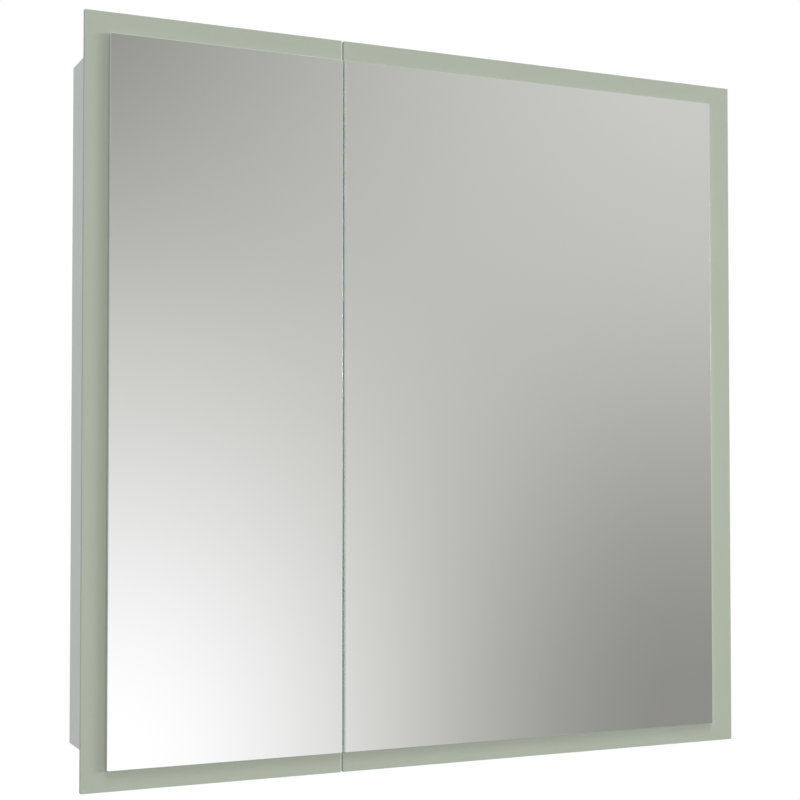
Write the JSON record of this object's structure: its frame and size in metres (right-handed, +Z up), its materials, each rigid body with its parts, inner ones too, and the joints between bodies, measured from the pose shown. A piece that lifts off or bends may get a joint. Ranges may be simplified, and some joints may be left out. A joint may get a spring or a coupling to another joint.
{
  "type": "mirror cabinet",
  "caption": "Wall-hung bathroom medicine cabinet with narrow and wide mirrored doors on satin glass panels, glass shelves inside and a hanging rail behind.",
  "frame": {"origin": "centre of the wall rail's rear face, on the wall plane, midway across the cabinet", "axes": "+X to the right along the wall for someone facing the cabinet, +Y into the wall, +Z up; the doors face -Y"},
  "size_m": [0.8, 0.154, 0.8],
  "materials": {
    "melamine_board": "pale grey-white melamine-faced board, matt",
    "satin_glass": "back-painted sage green glass with an etched satin face, opaque",
    "mirror": "silvered float glass with polished edges",
    "shelf_glass": "clear float glass with polished green edges",
    "plated_steel": "nickel-plated steel, smooth",
    "zinc_hardware": "zinc-plated pressed steel, satin",
    "white_plastic": "white moulded plastic, fine texture",
    "soft_bumper": "translucent grey soft stop"
  },
  "bodies": {
    "carcass": {"back_panel": "melamine_board", "bottom_panel": "melamine_board", "divider": "melamine_board", "door_magnet": "white_plastic", "left_hanger_case": "white_plastic", "left_hanger_hook": "zinc_hardware", "left_hanger_screw": "plated_steel", "left_lower_hinge_arm": "zinc_hardware", "left_lower_hinge_plate": "zinc_hardware", "left_lower_shelf": "shelf_glass", "left_lower_shelf_pin_left_front": "plated_steel", "left_lower_shelf_pin_left_rear": "plated_steel", "left_lower_shelf_pin_right_front": "plated_steel", "left_lower_shelf_pin_right_rear": "plated_steel", "left_side": "melamine_board", "left_upper_hinge_arm": "zinc_hardware", "left_upper_hinge_plate": "zinc_hardware", "left_upper_shelf": "shelf_glass", "left_upper_shelf_pin_left_front": "plated_steel", "left_upper_shelf_pin_left_rear": "plated_steel", "left_upper_shelf_pin_right_front": "plated_steel", "left_upper_shelf_pin_right_rear": "plated_steel", "right_hanger_case": "white_plastic", "right_hanger_hook": "zinc_hardware", "right_hanger_screw": "plated_steel", "right_lower_hinge_arm": "zinc_hardware", "right_lower_hinge_plate": "zinc_hardware", "right_lower_shelf": "shelf_glass", "right_lower_shelf_pin_left_front": "plated_steel", "right_lower_shelf_pin_left_rear": "plated_steel", "right_lower_shelf_pin_right_front": "plated_steel", "right_lower_shelf_pin_right_rear": "plated_steel", "right_side": "melamine_board", "right_upper_hinge_arm": "zinc_hardware", "right_upper_hinge_plate": "zinc_hardware", "right_upper_shelf": "shelf_glass", "right_upper_shelf_pin_left_front": "plated_steel", "right_upper_shelf_pin_left_rear": "plated_steel", "right_upper_shelf_pin_right_front": "plated_steel", "right_upper_shelf_pin_right_rear": "plated_steel", "top_panel": "melamine_board", "wall_rail": "zinc_hardware"},
    "left_door": {"left_door_board": "melamine_board", "left_door_bumper": "soft_bumper", "left_lower_hinge_cup": "zinc_hardware", "left_lower_hinge_pin": "plated_steel", "left_mirror": "mirror", "left_satin_glass": "satin_glass", "left_strike_plate": "plated_steel", "left_upper_hinge_cup": "zinc_hardware", "left_upper_hinge_pin": "plated_steel"},
    "right_door": {"right_door_board": "melamine_board", "right_door_bumper": "soft_bumper", "right_lower_hinge_cup": "zinc_hardware", "right_lower_hinge_pin": "plated_steel", "right_mirror": "mirror", "right_satin_glass": "satin_glass", "right_strike_plate": "plated_steel", "right_upper_hinge_cup": "zinc_hardware", "right_upper_hinge_pin": "plated_steel"}
  },
  "joints": [
    {"name": "left_door_hinge", "type": "hinge", "parent": "carcass", "child": "left_door", "pos_m": [-0.3715, -0.134, -0.32], "axis": [0, 0, -1], "range_deg": [0, 95]},
    {"name": "right_door_hinge", "type": "hinge", "parent": "carcass", "child": "right_door", "pos_m": [0.3715, -0.134, -0.32], "axis": [0, 0, 1], "range_deg": [0, 95]}
  ]
}
